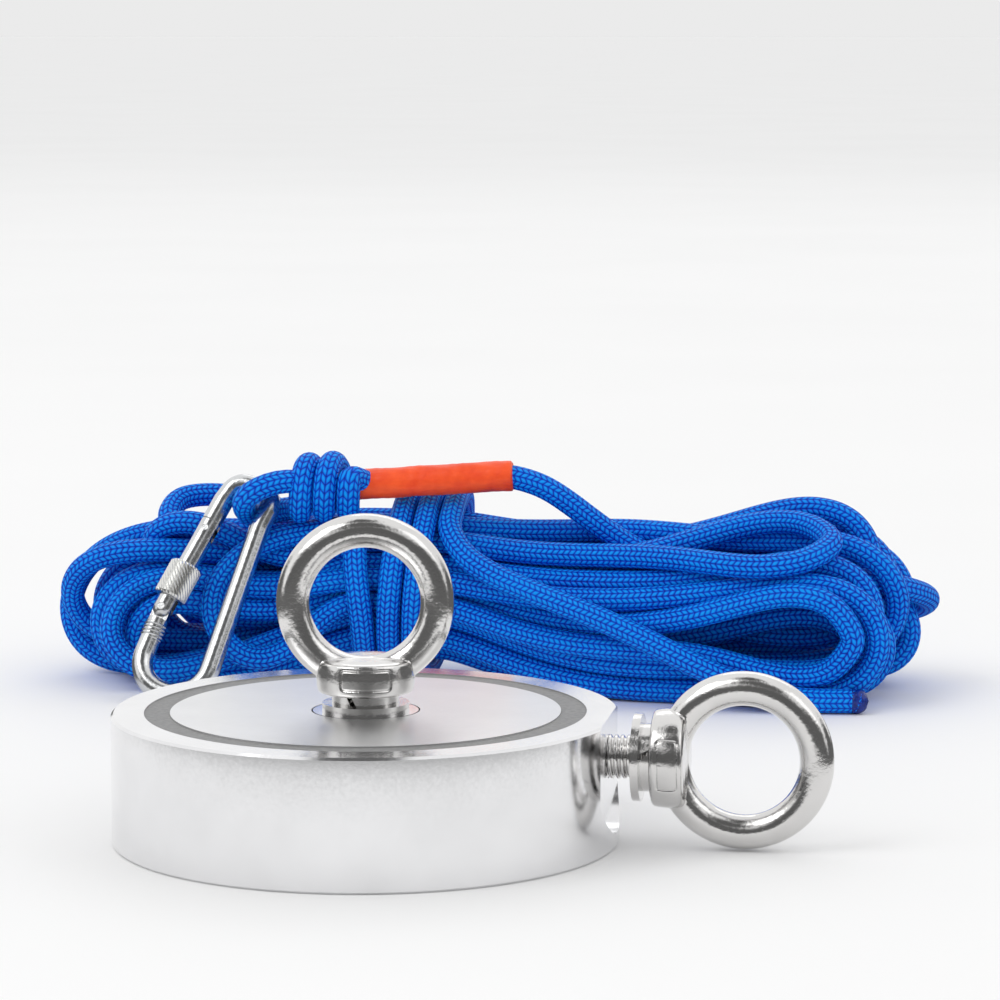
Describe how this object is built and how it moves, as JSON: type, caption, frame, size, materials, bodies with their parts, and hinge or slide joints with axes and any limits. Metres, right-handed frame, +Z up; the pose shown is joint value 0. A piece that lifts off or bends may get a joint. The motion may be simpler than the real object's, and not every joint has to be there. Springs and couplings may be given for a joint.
{
  "type": "magnet fishing magnet",
  "caption": "Double-sided round pot magnet for magnet fishing, with screwed eyebolts on its face and side, and a tied hank of braided rope ending in a knot and screw-lock carabiner.",
  "frame": {"origin": "centre of the magnet's lower face, in the mouth of its lower tapped hole, on the surface the magnet stands on", "axes": "+Z up along the magnet's axis, +X along the side eyebolt, +Y towards the rope"},
  "size_m": [0.3, 0.3584, 0.0905],
  "materials": {
    "plated_steel": "satin bright nickel plate over turned steel",
    "nickel_plate": "satin nickel plate over a sintered magnet",
    "resin": "grey potting resin, smooth and matt",
    "polished_steel": "polished forged stainless steel with fine pits",
    "zinc_plate": "bright zinc plate, lightly scratched",
    "spring_steel": "plain spring steel",
    "knurled_steel": "zinc-plated, diagonal knurl",
    "rope": "braided synthetic rope, bright blue",
    "heat_shrink": "shrunk orange-red tube, soft gloss"
  },
  "bodies": {
    "magnet": {"steel_body": "plated_steel", "centre_bush": "plated_steel", "lower_magnet": "nickel_plate", "upper_magnet": "nickel_plate", "lower_epoxy_ring": "resin", "upper_epoxy_ring": "resin"},
    "top_washers": {"top_flat_washer": "polished_steel", "top_split_washer": "polished_steel"},
    "top_bolt": {"top_eyebolt": "polished_steel"},
    "side_washers": {"side_flat_washer": "polished_steel", "side_split_washer": "polished_steel"},
    "side_bolt": {"side_eyebolt": "polished_steel"},
    "rope_kit": {"rope_hank": "rope", "waist_wraps": "rope", "eye_knot": "rope", "rope_eye": "rope", "rope_tail": "rope", "shrink_sleeve": "heat_shrink"},
    "clip": {"carabiner_body": "zinc_plate"},
    "gate": {"carabiner_gate": "zinc_plate", "gate_rivet": "zinc_plate", "latch_pin": "zinc_plate", "gate_plunger": "spring_steel", "gate_spring": "spring_steel"},
    "sleeve": {"screw_sleeve": "knurled_steel"}
  },
  "joints": [
    {"name": "top_bolt_lift", "type": "slide", "parent": "magnet", "child": "top_washers", "axis": [0, 0, 1], "range_m": [0, 0.0158]},
    {"name": "top_bolt_spin", "type": "hinge", "parent": "top_washers", "child": "top_bolt", "pos_m": [0, 0, 0.05], "axis": [0, 0, 1], "range_deg": [0, 3240]},
    {"name": "side_bolt_lift", "type": "slide", "parent": "magnet", "child": "side_washers", "axis": [1, 0, 0], "range_m": [-0.007, 0.0088]},
    {"name": "side_bolt_spin", "type": "hinge", "parent": "side_washers", "child": "side_bolt", "pos_m": [0.08, 0, 0.025], "axis": [1, 0, 0], "range_deg": [-1440, 1800]},
    {"name": "rope_lift", "type": "slide", "parent": "magnet", "child": "rope_kit", "axis": [0, 0, 1], "range_m": [0, 0.1]},
    {"name": "carabiner_swing", "type": "hinge", "parent": "rope_kit", "child": "clip", "pos_m": [-0.07703, 0.22796, 0.06545], "axis": [-0.4848, 0.4373, 0.7574], "range_deg": [0, 60]},
    {"name": "gate_swing", "type": "hinge", "parent": "clip", "child": "gate", "pos_m": [-0.10907, 0.20728, 0.02962], "axis": [0, 0.866, -0.5], "range_deg": [0, 14], "stiffness_Nm_per_rad": 0.1, "springref_deg": -17.19},
    {"name": "sleeve_travel", "type": "slide", "parent": "gate", "child": "sleeve", "axis": [0.3845, 0.4616, 0.7994], "range_m": [0, 0.0105]}
  ],
  "couplings": [
    {"joint": "top_bolt_lift", "follows": "top_bolt_spin", "m_per_rad": 0.00027852},
    {"joint": "side_bolt_lift", "follows": "side_bolt_spin", "m_per_rad": 0.00027852}
  ]
}
